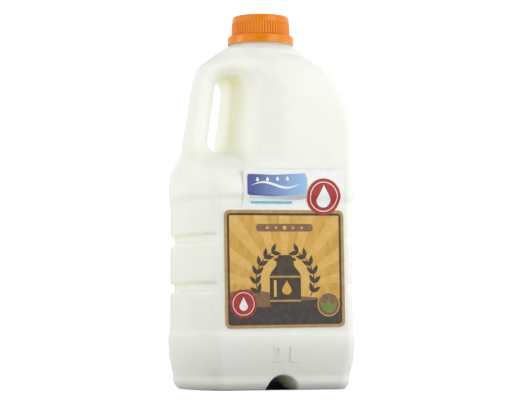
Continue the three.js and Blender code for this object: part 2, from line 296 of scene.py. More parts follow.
# Rosette in the lower left corner of the field and leaf badge in the lower right one
ROSETTE_PLACE = (9.6, 13.0)
ROSETTE_RADIUS = 10.2
ROSETTE_WAVE = 1.3
ROSETTE_LOBES = 14
ROSETTE_RING = (7.9, 7.4)
ROSETTE_DROP_SINK = 1.6
ROSETTE_DROP = (3.1, 6.6)
BADGE_PLACE = (8.6, 12.0)
BADGE_RING = (8.4, 7.8)
BADGE_LEAF_SINK = 5.4
BADGE_LEAF = (9.4, 4.0)
BADGE_LEAF_TURNS = (48, 132, 90)

# Print on the tab, in layers above the frame and field of the main print
TAB_FIRST_LAYER = 24
TAB_SHADOW = ((-26.0, 131.4), (10.0, 130.2), (17.0, 131.4), (17.0, 146.4), (-26.0, 146.0))
TAB_SHADOW_CORNER = 1.6
TAB_SHADOW_FADE = (-26, 16)
TAB_BAND = ((-27.4, 133.4), (-8.0, 132.4), (16.0, 134.0), (16.0, 148.6), (-8.0, 147.2), (-27.4, 147.8))
TAB_BAND_CORNER = 1.8
TAB_BAND_FADE = (-24, 14)
WAVE_LEFT = -25.4
WAVE_LENGTH = 38.6
WAVE_HEIGHT = 139.6
WAVE_SWING = 2.2
WAVE_TURNS = 6.6
WAVE_CLIMB = 1.6
WAVE_HALF = 0.9
WAVE_POINTS = 25
TAB_DROPS = 4
TAB_DROP_FIRST = (-20.0, 143.8)
TAB_DROP_STEP = (7.4, 0.25)
TAB_DROP = (1.15, 2.2)
TAB_DROP_POINTS = 20
TAB_BAR = (-24.6, 6.0, 127.6, 129.2)
TAB_BAR_CORNER = 0.7
DISC_PLACE = (29.4, 132.6)
DISC_RADII = (12.6, 10.4, 9.8)
DISC_DROP = (29.4, 130.4, 5.3, 10.8)
DISC_DROP_SHADOW = (29.9, 130.0, 5.6, 11.4)

# Moulded capacity mark low on the front
MARK_TEXT = "2 L"
MARK_HEIGHT = 11.0
MARK_CENTRE_X = 0.6
MARK_CENTRE_Z = 25.0
MARK_RELIEF = 0.42
MARK_TEXT_SIZE = 1.42 * MARK_HEIGHT
MARK_EXTRUDE = 0.6
MARK_BEVEL = 0.22
MARK_FRONT = 0.8
MARK_CUTS = (0.15, 0.3, 0.45, 0.6, 0.75, 0.9)
MARK_RECESS = 0.05

# Jug plastic: mottled skin, yellowish tints of painted shade by its share, roughness, and how far light
# scatters in metres
SKIN_DARK = (244, 245, 236)
SKIN_LIGHT = (247, 248, 240)
# Painted shade: the skin turns yellowish and darker by these stops as its share of painted shade grows
PAINTED_SHADE_TINTS = ((0.1, (0.986, 1, 0.99)), (0.45, (1.0, 0.985, 0.905)), (1.0, (0.99, 0.94, 0.68)))
SKIN_ROUGHNESS = (0.34, 0.46)
SKIN_SPECULAR = 0.3
SKIN_SCATTER_COLOUR = (1.0, 0.96, 0.8)
SKIN_SCATTER = 0.0022
RECESS_SCATTER = 0.06
RECESS_SCATTER_SHARES = (0.08, 0.7)
MARK_SCATTER = 0.0005
SEAM_FADE = (0.0001, 0.0005)

# Cap plastic
CAP_DARK = (231, 131, 4)
CAP_LIGHT = (237, 137, 6)
CAP_ROUGHNESS = (0.17, 0.23)
CAP_SPECULAR = 0.36
CAP_SCATTER_WEIGHT = 0.2
CAP_SCATTER_COLOUR = (1.0, 0.4, 0.1)
CAP_SCATTER = 0.0015

# Ink and film
INK_ROUGHNESS = (0.37, 0.47)
INK_SPECULAR = 0.25
FADE_ROUGHNESS = (0.36, 0.46)

# Camera, read off the photograph of 512 by 400 pixels: clip distances are metres
CAMERA_TURN = 22.0
CAMERA_DISTANCE = 1360.0
CAMERA_HEIGHT = 42.6
CAMERA_PITCH = 3.799
CAMERA_AIM_LEFT = 0.134
CAMERA_LENS = 135.35
CAMERA_SENSOR = 36.0
CAMERA_CLIP = (0.05, 50.0)

# Light of the studio surround from level with the jug up to overhead
SKY = ((0.0, 0.84), (0.25, 0.86), (0.6, 0.64), (1.0, 0.48))
SKY_STRENGTH = 1.24

# Dark opening in the surround round the camera: how high its middle is, how much flatter than wide it is,
# where it starts and is full as a dot product with the direction of its middle, and its tone
OPENING_HEIGHT = 0.23
OPENING_STRETCH = 1.6
OPENING = (0.955, 0.975)
OPENING_TONE = 0.05

# Darker part of the surround, straight behind the jug for the camera: the same dot products, and its tone
BACK = (-0.8, -0.95)
BACK_TONE = 0.3

# Softboxes: azimuth, height, distance, width and height of the panel in metres, power, colour
SOFTBOXES = {
    "softbox_left": (-98, 0.0, 1.2, 0.6, 1.0, 5.3, (1, 0.98, 0.9)),
    "softbox_right": (80, 0.0, 1.5, 0.9, 0.8, 5.3, (1, 1, 1)),
    "softbox_front": (23, 0.45, 1.8, 1.0, 1.2, 9.0, (0.98, 0.99, 1)),
}
SOFTBOX_AIM = (0, 0, 0.13)

# Studio floor over an underlay, and the distances in metres over which their tones run from near to far; the
# underlay's dark near tone is painted shade round the foot
FLOOR_REACH = 4000.0
FLOOR_FADE = (0.05, 0.36)
FLOOR_TONES = (0.9, 0.9)
FLOOR_GLOW = 0.4
# Painted shade: the underlay is dark near the jug and pale far from it
UNDERLAY_TONES = (0.2, 0.9)
UNDERLAY_DROP = 0.5

# Right half of the foot's outline from the side to the back, cut out of the floor, so that the underlay with
# its painted shade and the jug's own shadow shows in the arched channel
FOOTPRINT = ((53.2, 0), (51.5, 19), (48.0, 32.5), (45.4, 36.2), (0, 36.2))

# Places of the colour sockets on a mix node
MIX_FACTOR = 0
MIX_A = 6
MIX_B = 7
MIX_RESULT = 2

# Faces of a block over the corners that box_points lists
BOX_FACES = ((0, 1, 3, 2), (4, 6, 7, 5), (0, 4, 5, 1), (2, 3, 7, 6), (0, 2, 6, 4), (1, 5, 7, 3))


def round_max(a, b, r):
    """Meet of two solids with an edge rounded to radius r."""
    return np.minimum(np.maximum(a, b), -r) + np.hypot(np.maximum(a + r, 0), np.maximum(b + r, 0))


def round_min(a, b, r):
    """Join of two solids with a fillet of radius r."""
    return -round_max(-a, -b, r)


def ease(value, start, stop):
    """Smooth change from 0 where a value is at start to 1 where it is at stop."""
    t = np.clip((value - start) / (stop - start), 0, 1)
    return t * t * (3 - 2 * t)


def tucked(z):
    """Share of the lower bumper's curve in towards the foot at height z, with a softened lower end."""
    shifts = FOOT_EDGE_SOFTNESS * np.linspace(-1, 1, 5)
    total = 0
    for shift in shifts:
        share = np.clip((BUMPER_CURVE_TOP - z + shift) / (BUMPER_CURVE_TOP - FOOT_HEIGHT), 0, 1)
        total = total + share ** BUMPER_CURVE_POWER
    return total / len(shifts)


def stand_out(z):
    """How far the wall stands out from the label panel at height z."""
    lower = 1 - ease(z, *LOWER_STEP_Z)
    upper = ease(z, *UPPER_STEP_Z)
    roll = np.clip(1 - z / FOOT_ROLL_HEIGHT, 0, 1) ** FOOT_ROLL_POWER
    return BUMPER_PROUD * (lower + upper) - FOOT_INSET * tucked(z) - FOOT_ROLL_INSET * roll


def plan_distance(x, y, offset, facet_inset):
    """Distance to the plan outline grown by an offset: flat front, inset corner facet, bulged side."""
    front = np.abs(y) - (HALF_DEPTH + offset)
    shift = SIDE_RADIUS - CORNER_X - SIDE_BULGE
    side = np.hypot(np.abs(x) + shift, y) - (SIDE_RADIUS + offset)
    facet = (np.abs(x) - FACET_FRONT_X) * math.sin(FACET_TURN) - offset + facet_inset
    facet = facet + (np.abs(y) - HALF_DEPTH) * math.cos(FACET_TURN)
    return round_max(round_max(front, facet, FACET_ROUND), side, FACET_ROUND)


def grooved(wall, x, z):
    """The wall with the grip grooves sunk into its sides."""
    for height in GROOVE_HEIGHTS:
        band = np.abs(z - height) - GROOVE_HALF
        groove = round_max(band, -(wall + GROOVE_DEPTH), GROOVE_FLOOR_ROUND)
        groove = round_max(groove, GROOVE_END_X - np.abs(x), GROOVE_END_ROUND)
        wall = round_max(wall, -groove, GROOVE_EDGE_ROUND)
    return wall


def shoulder_limits(body, x, y, z):
    """The body cut by the dome, the tapered left half and the flare under the handle."""
    r = np.hypot(x - DOME_CENTRE_X, y)
    rise = np.maximum(z - DOME_CENTRE_Z, 0)
    frontal = ease(np.abs(x), DOME_EDGE_SIDE_X, DOME_EDGE_FRONT_X)
    edge = DOME_EDGE_SIDE + (DOME_EDGE_FRONT - DOME_EDGE_SIDE) * frontal
    body = round_max(body, np.hypot(r, rise) - DOME_RADIUS, edge)
    fade = ease(z, TAPER_FROM_Z, TAPER_FULL_Z)
    dome_line = np.sqrt(np.maximum(DOME_RADIUS ** 2 - rise ** 2, 1))
    front_line = np.minimum(HALF_DEPTH + BUMPER_PROUD, dome_line)
    leftward = 0.5 * (np.hypot(x, CREASE_SOFTNESS) - x)
    taper = TAPER_SHARE * (np.abs(y) - front_line + TAPER_SLOPE * fade * leftward)
    body = np.maximum(body, np.where(z > TAPER_FROM_Z, taper, FAR_INSIDE))
    flare = FLARE_SHARE * (FLARE_X + FLARE_SLOPE * (z - FLARE_Z) - x)
    return round_max(body, np.where(z < FLARE_TOP_Z, flare, FAR_INSIDE), FLARE_ROUND)


def gap_distance(x, y, z):
    """Space between handle and body: left of a slanted wall, over a bowed floor, under the ceiling."""
    t = (WALL_TOP_Z - z) / (WALL_TOP_Z - WALL_LOW_Z)
    middle = WALL_MID_TOP_X + (WALL_MID_LOW_X - WALL_MID_TOP_X) * t
    edge = WALL_EDGE_TOP_X + (WALL_EDGE_LOW_X - WALL_EDGE_TOP_X) * t
    wall_x = middle + (edge - middle) * np.abs(y) / WALL_EDGE_Y
    floor_z = GAP_FLOOR_Z - GAP_FLOOR_BOW * y ** 2 - GAP_FLOOR_SLOPE_X * np.abs(x)
    gap = round_max(x - wall_x, GAP_FLOOR_SHARE * (floor_z - z), GAP_FLOOR_FILLET)
    forward = ease(y, *GAP_CEILING_SWEEP_Y)
    ceiling = z - GAP_CEILING_Z - GAP_CEILING_RISE * forward
    return round_max(gap, ceiling, GAP_CEILING_FILLET + GAP_CEILING_SWEEP * forward)


def segment_distance(x, z, start, end):
    """Distance in the plane of the handle from a straight run."""
    dx = end[0] - start[0]
    dz = end[1] - start[1]
    t = np.clip(((x - start[0]) * dx + (z - start[1]) * dz) / (dx * dx + dz * dz), 0, 1)
    return np.hypot(x - start[0] - t * dx, z - start[1] - t * dz)


def grip_distance(x, y, z):
    """Elliptical tube along a leaning run, a bend and a short run into the shoulder."""
    lean = math.atan(GRIP_LEAN)
    foot = (GRIP_FOOT_X, GRIP_FOOT_Z)
    bend = (GRIP_FOOT_X + GRIP_LEAN * (GRIP_BEND_Z - GRIP_FOOT_Z), GRIP_BEND_Z)
    centre_x = bend[0] + GRIP_BEND_RADIUS * math.cos(lean)
    centre_z = bend[1] - GRIP_BEND_RADIUS * math.sin(lean)
    last = lean + math.radians(GRIP_BEND_TURN)
    turned = (centre_x - GRIP_BEND_RADIUS * math.cos(last), centre_z + GRIP_BEND_RADIUS * math.sin(last))
    end = (turned[0] + GRIP_RUN_IN * math.sin(last), turned[1] + GRIP_RUN_IN * math.cos(last))
    angle = np.arctan2(z - centre_z, centre_x - x)
    arc = np.abs(np.hypot(x - centre_x, z - centre_z) - GRIP_BEND_RADIUS)
    arc = np.where((angle > lean) & (angle < last), arc, FAR_OUTSIDE)
    straight = np.minimum(segment_distance(x, z, foot, bend), segment_distance(x, z, turned, end))
    down = np.clip((GRIP_BEND_Z - z) / (GRIP_BEND_Z - GRIP_FOOT_Z), 0, 1)
    up = np.clip((z - GRIP_BEND_Z) / GRIP_TAPER_RUN, 0, 1)
    half = GRIP_HALF_WIDTH + GRIP_SWELL * down - GRIP_TAPER * up
    across = np.minimum(straight, arc) / half
    return half * (np.hypot(across, y / GRIP_HALF_DEPTH) - 1)


def neck_joined(body, x, y, z):
    """The body with the sloped collar and the neck on it; the collar melts into the handle side."""
    r = np.hypot(x, y)
    above = NECK_FROM_Z - z
    collar = np.maximum(z - COLLAR_TOP_Z + COLLAR_SLOPE * (r - COLLAR_TOP_R), r - COLLAR_OUTER_R)
    melt = COLLAR_MELT_MIDDLE + COLLAR_MELT_SIDE * ease(np.abs(y), *COLLAR_MELT_Y)
    fillet = COLLAR_FILLET + melt * ease(x, *COLLAR_MELT_X)
    body = round_min(body, np.maximum(collar, above), fillet)
    ledge = np.maximum(r - LEDGE_RADIUS, z - LEDGE_TOP_Z)
    body = round_min(body, np.maximum(ledge, above), LEDGE_FILLET)
    bead = np.maximum(r - BEAD_RADIUS, z - BEAD_TOP_Z)
    neck = np.maximum(r - NECK_RADIUS, z - NECK_TOP_Z)
    return np.minimum(body, np.maximum(np.minimum(bead, neck), above))


def base_cut(body, x, y, z):
    """The body with its raised underside and the arched channel."""
    inside = -plan_distance(x, y, stand_out(np.float64(0)), FACET_TUCK)
    underside = PUSH_UP * ease(inside, PUSH_UP_RIM, PUSH_UP_RIM + PUSH_UP_RAMP)
    body = round_max(body, underside - z, PUSH_UP_ROUND)
    arch = ARCH_HEIGHT * (np.hypot(x / ARCH_HALF, z / ARCH_HEIGHT) - 1)
    return round_max(body, -arch, ARCH_ROUND)


def jug_distance(x, y, z):
    """Signed distance to the skin of the jug, in millimetres."""
    body = grooved(plan_distance(x, y, stand_out(z), FACET_TUCK * tucked(z)), x, z)
    body = shoulder_limits(body, x, y, z)
    body = round_max(body, -gap_distance(x, y, z), GAP_EDGE_ROUND)
    body = round_min(body, grip_distance(x, y, z), GRIP_BLEND)
    body = neck_joined(body, x, y, z)
    return base_cut(body, x, y, z)


def crossing_points(field, cell, low):
    """One point in every grid cell that the surface crosses, and the number of each such cell."""
    shape = np.array(field.shape) - 1
    total = np.zeros((*shape, 3), np.float32)
    hits = np.zeros(shape, np.float32)

    def at(corner):
        return field[tuple(slice(c, c + n) for c, n in zip(corner, shape))]

    for corner in itertools.product((0, 1), repeat=3):
        for axis in range(3):
            if corner[axis]:
                continue
            other = list(corner)
            other[axis] = 1
            a = at(corner)
            b = at(other)
            hit = (a < 0) != (b < 0)
            share = np.where(hit, a / np.where(hit, a - b, 1), 0)
            for k in range(3):
                place = share if k == axis else corner[k]
                total[..., k] += np.where(hit, place, 0)
            hits += hit
    live = hits > 0
    number = np.full(live.shape, -1)
    number[live] = np.arange(live.sum())
    points = low + cell * (np.argwhere(live) + total[live] / hits[live][:, None])
    return points, number


def crossing_quads(field, number):
    """A quad round every grid edge that the surface crosses, facing outward."""
    inside = field < 0
    quads = []
    for axis in range(3):
        u = (axis + 1) % 3
        v = (axis + 2) % 3
        start = [slice(1, -1)] * 3
        start[axis] = slice(0, -1)
        end = list(start)
        end[axis] = slice(1, None)
        first = inside[tuple(start)]
        second = inside[tuple(end)]
        crossed = first != second
        cells = np.argwhere(crossed) + 1
        cells[:, axis] -= 1
        corners = []
        for du, dv in ((1, 1), (0, 1), (0, 0), (1, 0)):
            corner = cells.copy()
            corner[:, u] -= du
            corner[:, v] -= dv
            corners.append(number[tuple(corner.T)])
        found = np.stack(corners, 1)
        turned = second[crossed]
        found[turned] = found[turned][:, ::-1]
        quads.append(found)
    return np.concatenate(quads)


def slope_of(distance, points):
    """Unit gradient of a distance function at points, and how steep the function is there."""
    step = 0.05
    shortest = 1e-9
    slopes = np.empty_like(points)
    for axis in range(3):
        shift = np.zeros(3)
        shift[axis] = step
        slopes[:, axis] = distance(*(points + shift).T) - distance(*(points - shift).T)
    length = np.linalg.norm(slopes, axis=1, keepdims=True)
    return slopes / np.maximum(length, shortest), length[:, 0] / (2 * step)


def surface_of(distance, low, high, cell):
    """Points, quads and normals of the zero surface of a distance function."""
    counts = np.ceil((high - low) / cell).astype(int) + 1
    xs, ys, zs = (low[k] + cell * np.arange(counts[k]) for k in range(3))
    field = np.empty(counts, np.float32)
    for i, x in enumerate(xs):
        field[i] = distance(x, ys[:, None], zs[None, :])
    points, number = crossing_points(field, cell, low)
    quads = crossing_quads(field, number)
    furthest = 0.4 * cell
    flattest = 0.3
    for _ in range(2):
        normals, steepness = slope_of(distance, points)
        move = distance(*points.T) / np.maximum(steepness, flattest)
        points = points - normals * np.clip(move, -furthest, furthest)[:, None]
    normals, _ = slope_of(distance, points)
    return points, quads, normals


def placed(name, data):
    """New object in the scene."""
    made = bpy.data.objects.new(name, data)
    bpy.context.scene.collection.objects.link(made)
    return made


def link(name, mesh, materials):
    """Object for a finished mesh, riding on the jug's one body."""
    piece = placed(name, mesh)
    for material in materials:
        mesh.materials.append(material)
    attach(piece, "root")
    return piece


def new_mesh(name, points, faces):
    """Mesh in metres from points in millimetres."""
    mesh = bpy.data.meshes.new(name)
    mesh.from_pydata((np.asarray(points) * MM).tolist(), [], [list(map(int, face)) for face in faces])
    mesh.validate()
    return mesh


class Nodes:
    """Short way to build the node tree of a material or of the world."""

    def __init__(self, owner, shader="Principled BSDF"):
        owner.use_nodes = True
        self.owner = owner
        self.tree = owner.node_tree
        self.shader = self.tree.nodes[shader]

    def add(self, kind, inputs=None, **settings):
        """New node with its settings, and with constants or outputs of other nodes on its sockets."""
        node = self.tree.nodes.new(kind)
        for key, value in settings.items():
            setattr(node, key, value)
        for key, value in (inputs or {}).items():
            self.feed(node.inputs[key], value)
        return node

    def feed(self, socket, value):
        if isinstance(value, bpy.types.NodeSocket):
            self.tree.links.new(value, socket)
        else:
            socket.default_value = value

    def put(self, name, value):
        self.feed(self.shader.inputs[name], value)

    def place(self):
        return self.add("ShaderNodeTexCoord").outputs["Object"]

    def axis(self, vector, name):
        return self.add("ShaderNodeSeparateXYZ", {"Vector": vector}).outputs[name]

    def noise(self, scale, detail, stretch=(1, 1, 1)):
        mapping = self.add("ShaderNodeMapping", {"Vector": self.place(), "Scale": stretch})
        inputs = {"Vector": mapping.outputs["Vector"], "Scale": scale, "Detail": detail}
        return self.add("ShaderNodeTexNoise", inputs).outputs["Fac"]

    def spread(self, value, low, high, start=0.3, stop=0.7):
        """Value taken from a range to another one, and held at its ends."""
        inputs = {"Value": value, "From Min": start, "From Max": stop, "To Min": low, "To Max": high}
        return self.add("ShaderNodeMapRange", inputs).outputs["Result"]

    def ramp(self, value, stops):
        ramp = self.add("ShaderNodeValToRGB", {"Fac": value})
        elements = ramp.color_ramp.elements
        while len(elements) < len(stops):
            elements.new(0.5)
        for element, (place, colour) in zip(elements, stops):
            element.position = place
            element.color = (*colour, 1)
        return ramp.outputs["Color"]

    def multiply(self, a, b):
        inputs = {MIX_FACTOR: 1.0, MIX_A: a, MIX_B: b}
        mix = self.add("ShaderNodeMix", inputs, data_type="RGBA", blend_type="MULTIPLY")
        return mix.outputs[MIX_RESULT]

    def bump(self, height, strength, distance, under=None):
        """Normal moved by a height, on top of the normal under it if there is one."""
        inputs = {"Height": height, "Strength": strength, "Distance": distance}
        if under:
            inputs["Normal"] = under
        return self.add("ShaderNodeBump", inputs).outputs["Normal"]


def linear(red, green, blue):
    """Scene colour of a screen colour given in 0 to 255."""
    def one(value):
        share = value / 255
        return share / 12.92 if share <= 0.04045 else ((share + 0.055) / 1.055) ** 2.4
    return (one(red), one(green), one(blue))


def jug_material(name, scatter, recess_scatter):
    """Milk-filled blow-moulded plastic: satin skin, faint mottling, painted yellowish shade in the recesses,
    parting line.
    """
    m = Nodes(bpy.data.materials.new(name))
    recess = m.add("ShaderNodeAttribute", attribute_name="recess").outputs["Fac"]
    painted_shade = m.add("ShaderNodeAttribute", attribute_name="painted_shade").outputs["Fac"]
    skin = m.ramp(m.noise(38, 4), [(0.35, linear(*SKIN_DARK)), (0.7, linear(*SKIN_LIGHT))])
    # Base colour tinted by the painted shade in the recesses
    m.put("Base Color", m.multiply(skin, m.ramp(painted_shade, PAINTED_SHADE_TINTS)))
    m.put("Roughness", m.spread(m.noise(420, 2), *SKIN_ROUGHNESS))
    m.put("Subsurface Weight", 1.0)
    m.put("Subsurface Radius", SKIN_SCATTER_COLOUR)
    m.put("Subsurface Scale", m.spread(recess, scatter, recess_scatter, *RECESS_SCATTER_SHARES))
    m.put("Specular IOR Level", SKIN_SPECULAR)
    away = m.add("ShaderNodeMath", {0: m.axis(m.place(), "Y")}, operation="ABSOLUTE")
    seam = m.bump(m.spread(away.outputs["Value"], 1.0, 0.0, *SEAM_FADE), 0.5, 0.0003)
    waves = m.bump(m.noise(55, 2), 0.05, 0.002, seam)
    m.put("Normal", m.bump(m.noise(1500, 2), 0.06, 0.0004, waves))
    return m.owner


def cap_material():
    """Satin orange plastic with a fine moulded grain and faint swirls of colour."""
    m = Nodes(bpy.data.materials.new("cap_plastic"))
    m.put("Base Color", m.ramp(m.noise(90, 3), [(0.3, linear(*CAP_DARK)), (0.7, linear(*CAP_LIGHT))]))
    m.put("Specular IOR Level", CAP_SPECULAR)
    m.put("Roughness", m.spread(m.noise(700, 2), *CAP_ROUGHNESS))
    m.put("Subsurface Weight", CAP_SCATTER_WEIGHT)
    m.put("Subsurface Radius", CAP_SCATTER_COLOUR)
    m.put("Subsurface Scale", CAP_SCATTER)
    m.put("Normal", m.bump(m.noise(2200, 2), 0.08, 0.0003))
    return m.owner


def print_material(name, dark, light, scale=260, stretch=(1, 1, 1)):
    """Ink on film: two close tones mottled together, with a faint uneven gloss."""
    m = Nodes(bpy.data.materials.new(name))
    tone = m.ramp(m.noise(scale, 4, stretch), [(0.35, linear(*dark)), (0.68, linear(*light))])
    m.put("Base Color", tone)
    m.put("Roughness", m.spread(m.noise(900, 2), *INK_ROUGHNESS))
    m.put("Specular IOR Level", INK_SPECULAR)
    m.put("Normal", m.bump(m.noise(45, 2), 0.05, 0.0015))
    return m.owner


def fade_material(name, left, right, start, stop):
    """Ink that fades from one colour to another along the width of the label."""
    m = Nodes(bpy.data.materials.new(name))
    along = m.spread(m.axis(m.place(), "X"), 0.0, 1.0, start * MM, stop * MM)
    tone = m.ramp(along, [(0.0, linear(*left)), (1.0, linear(*right))])
    grain = m.ramp(m.noise(300, 3), [(0.3, (0.94, 0.94, 0.94)), (0.7, (1, 1, 1))])
    m.put("Base Color", m.multiply(tone, grain))
    m.put("Roughness", m.spread(m.noise(900, 2), *FADE_ROUGHNESS))
    return m.owner


def give(mesh, name, values):
    """Attribute with one number for each point of a mesh."""
    attribute = mesh.attributes.new(name, "FLOAT", "POINT")
    attribute.data.foreach_set("value", values.astype(np.float32))


def recess_share(points, normals):
    """How deep in a recess each point sits, from 0 on open skin to 1 deep inside."""
    shade = np.zeros(len(points))
    for reach in RECESS_REACHES:
        free = jug_distance(*(points + normals * reach).T)
        shade += np.clip(1 - free / reach, 0, RECESS_MOST) / len(RECESS_REACHES)
    return np.clip((shade - RECESS_FROM) / RECESS_RUN, 0, 1)


def make_jug(material):
    """Skin of the jug, with a normal, a share of recess and a share of painted shade at each point."""
    half_wide, half_deep = SKIN_BOX_HALF
    low = np.array([-half_wide, -half_deep, -SKIN_BOX_MARGIN])
    high = np.array([half_wide, half_deep, NECK_TOP_Z + SKIN_BOX_MARGIN])
    points, quads, normals = surface_of(jug_distance, low, high, CELL)
    mesh = new_mesh("jug_skin", points, quads)
    recess = recess_share(points, normals)
    # Painted shade: deeper recesses and faces that look down get more of the yellowish tint
    painted_shade = recess * np.clip(PAINTED_SHADE_LEVEL - PAINTED_SHADE_TURN * normals[:, 2], PAINTED_SHADE_LEAST, 1)
    give(mesh, "recess", recess)
    give(mesh, "painted_shade", painted_shade)
    mesh.polygons.foreach_set("use_smooth", [True] * len(mesh.polygons))
    mesh.normals_split_custom_set_from_vertices(normals.tolist())
    piece = link("jug_skin", mesh, [material])
    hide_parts("jug")


def turned_faces(rings, count, closed=False):
    """Quads between rings of count points each, and from the last ring to the first one if closed."""
    faces = []
    for ring in range(rings if closed else rings - 1):
        low = ring * count
        high = (ring + 1) % rings * count
        for i in range(count):
            j = (i + 1) % count
            faces.append((low + i, low + j, high + j, high + i))
    return faces


def turns(count):
    """Angles of points spaced round a full turn."""
    return 2 * np.pi * np.arange(count) / count


def turned_points(profile, count, groove=0):
    """Points of a profile of (radius, height, rib share) turned round the neck axis, less the grooves."""
    angles = turns(count)
    points = []
    for radius, z, rib in profile:
        r = radius - rib * groove
        points.append(np.stack([r * np.cos(angles), r * np.sin(angles), np.full(count, z)], 1))
    return np.concatenate(points)


def quarter(radius, z, wide, tall, count=6):
    """Profile of a rounded edge from its outer tangent point up to z, or down to z with tall below 0."""
    turn = np.linspace(0, np.pi / 2, count)
    return list(zip(radius - wide * (1 - np.cos(turn)), z - tall * (1 - np.sin(turn))))


def make_cap(material):
    """Ribbed cap with a drafted skirt, a plain rim, a shallow dish in its top and an open bore."""
    count = CAP_RIBS * CAP_POINTS_PER_RIB
    foot = CAP_BOTTOM_Z + CAP_FOOT_ROUND
    skirt = CAP_RIB_TOP_Z - CAP_SKIRT_END - foot
    rim = CAP_RADIUS - CAP_RIB_ENDS[-1][0]
    profile = [(CAP_BORE, CAP_BORE_TOP_Z, 0), (CAP_BORE, CAP_BOTTOM_Z, 0)]
    profile += [(CAP_RADIUS - CAP_FOOT_ROUND, CAP_BOTTOM_Z, 1), (CAP_RADIUS, foot, 1)]
    profile += [(CAP_RADIUS - CAP_DRAFT * t, foot + skirt * t, 1) for t in (0.33, 0.66, 1.0)]
    profile += [(CAP_RADIUS - inward, CAP_RIB_TOP_Z + above, rib) for inward, above, rib in CAP_RIB_ENDS]
    profile += [(r, z, 0) for r, z in quarter(rim, CAP_TOP_Z, CAP_TOP_ROUND, CAP_TOP_ROUND, 7)]
    profile += [(r, CAP_TOP_Z - depth, 0) for r, depth in CAP_DISH]
    groove = CAP_RIB_DEPTH * (1 - np.abs(np.cos(turns(count) * CAP_RIBS / 2)) ** CAP_GROOVE_POWER)
    points = turned_points(profile, count, groove)
    faces = turned_faces(len(profile), count)
    faces.append(list(range((len(profile) - 1) * count, len(profile) * count)))
    faces.append(list(range(count))[::-1])
    mesh = new_mesh("cap_ribbed", points, faces)
    smooth_by_angle(mesh, SHARP_PLASTIC)
    piece = link("cap_ribbed", mesh, [material])
    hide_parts("cap")


def smooth_by_angle(mesh, degrees):
    """Smooth shading that leaves edges sharp where they turn by more than the angle."""
    mesh.polygons.foreach_set("use_smooth", [True] * len(mesh.polygons))
    mesh.set_sharp_from_angle(angle=math.radians(degrees))


def box_points(centre, along, across, up):
    """Eight corners of a small block from its centre and three half edges."""
    corners = []
    for a, b, c in itertools.product((-1, 1), repeat=3):
        corners.append(centre + a * along + b * across + c * up)
    return corners


def make_band(material):
    """Tamper band: rounded ring with a thin lip over the neck bead and small bridges up to the cap."""
    lip_z = BAND_TOP_Z - BAND_LIP
    profile = [(BAND_LIP_BORE, lip_z), (BAND_BORE, lip_z), (BAND_BORE, BAND_BOTTOM_Z + BAND_BORE_FROM)]
    profile += [(BAND_FOOT_BORE, BAND_BOTTOM_Z + BAND_FOOT_BORE_TOP), (BAND_FOOT_BORE, BAND_BOTTOM_Z)]
    profile += quarter(BAND_RADIUS, BAND_BOTTOM_Z, BAND_FOOT_WIDE, -BAND_FOOT_TALL)[::-1]
    profile += [(BAND_RADIUS, BAND_TOP_Z - BAND_SIDE_END)]
    profile += quarter(BAND_RADIUS, BAND_TOP_Z, BAND_TOP_ROUND, BAND_TOP_ROUND)
    profile += [(BAND_LIP_BORE, BAND_TOP_Z)]
    points = list(turned_points([(r, z, 0) for r, z in profile], BAND_POINTS))
    faces = turned_faces(len(profile), BAND_POINTS, closed=True)
    up = np.array([0, 0, 1])
    half_deep, half_wide, half_tall = BRIDGE_HALVES
    for turn in turns(BAND_BRIDGES) + math.pi / BAND_BRIDGES:
        out = np.array([math.cos(turn), math.sin(turn), 0])
        side = np.array([-math.sin(turn), math.cos(turn), 0])
        centre = out * (CAP_RADIUS - BRIDGE_INSET) + up * (BAND_TOP_Z + CAP_BOTTOM_Z) / 2
        start = len(points)
        points += box_points(centre, out * half_deep, side * half_wide, up * half_tall)
        faces += [tuple(start + k for k in face) for face in BOX_FACES]
    mesh = new_mesh("band_ring", points, faces)
    smooth_by_angle(mesh, SHARP_PLASTIC)
    piece = link("band_ring", mesh, [material])
    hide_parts("tamper_band")


def on_label(x, z, y):
    """Point of the tilted label plane from its own width and height."""
    middle = (LABEL_BOTTOM + LABEL_SHOULDER) / 2
    c = math.cos(LABEL_TILT)
    s = math.sin(LABEL_TILT)
    return (x * c - (z - middle) * s, y, middle + x * s + (z - middle) * c)


@contextlib.contextmanager
def editing(mesh):
    """Opens a mesh for editing and writes it back."""
    shape = bmesh.new()
    shape.from_mesh(mesh)
    yield shape
    shape.to_mesh(mesh)
    shape.free()


def cut_across(shape, direction, places):
    """Cuts a mesh at places along a direction, so that it can bend there."""
    for place in places:
        parts = shape.verts[:] + shape.edges[:] + shape.faces[:]
        bmesh.ops.bisect_plane(shape, geom=parts, plane_co=Vector(direction) * place, plane_no=direction)


def drape(mesh):
    """Bends a flat label piece over the step up to the upper bumper."""
    with editing(mesh) as shape:
        cut_across(shape, (0, 0, 1), np.linspace(*DRAPE_Z, DRAPE_CUTS) * MM)
        for vert in shape.verts:
            vert.co.y -= BUMPER_PROUD * MM * float(ease(vert.co.z / MM, *DRAPE_Z))
        bmesh.ops.triangulate(shape, faces=shape.faces[:], ngon_method="EAR_CLIP")


def rounded(corners, radius, steps=6):
    """Outline through corner points, each cut off by a smooth curve."""
    made = []
    count = len(corners)
    for i, corner in enumerate(corners):
        here = Vector(corner)
        before = (Vector(corners[i - 1]) - here).normalized() * radius
        after = (Vector(corners[(i + 1) % count]) - here).normalized() * radius
        for k in range(steps + 1):
            t = k / steps
            made.append(tuple(here + before * (1 - t) ** 2 + after * t ** 2))
    return made


def drawn_in(box, inset):
    """Box of left, right, low and high that is smaller by an inset on every side."""
    left, right, low, high = box
    return (left + inset, right - inset, low + inset, high - inset)


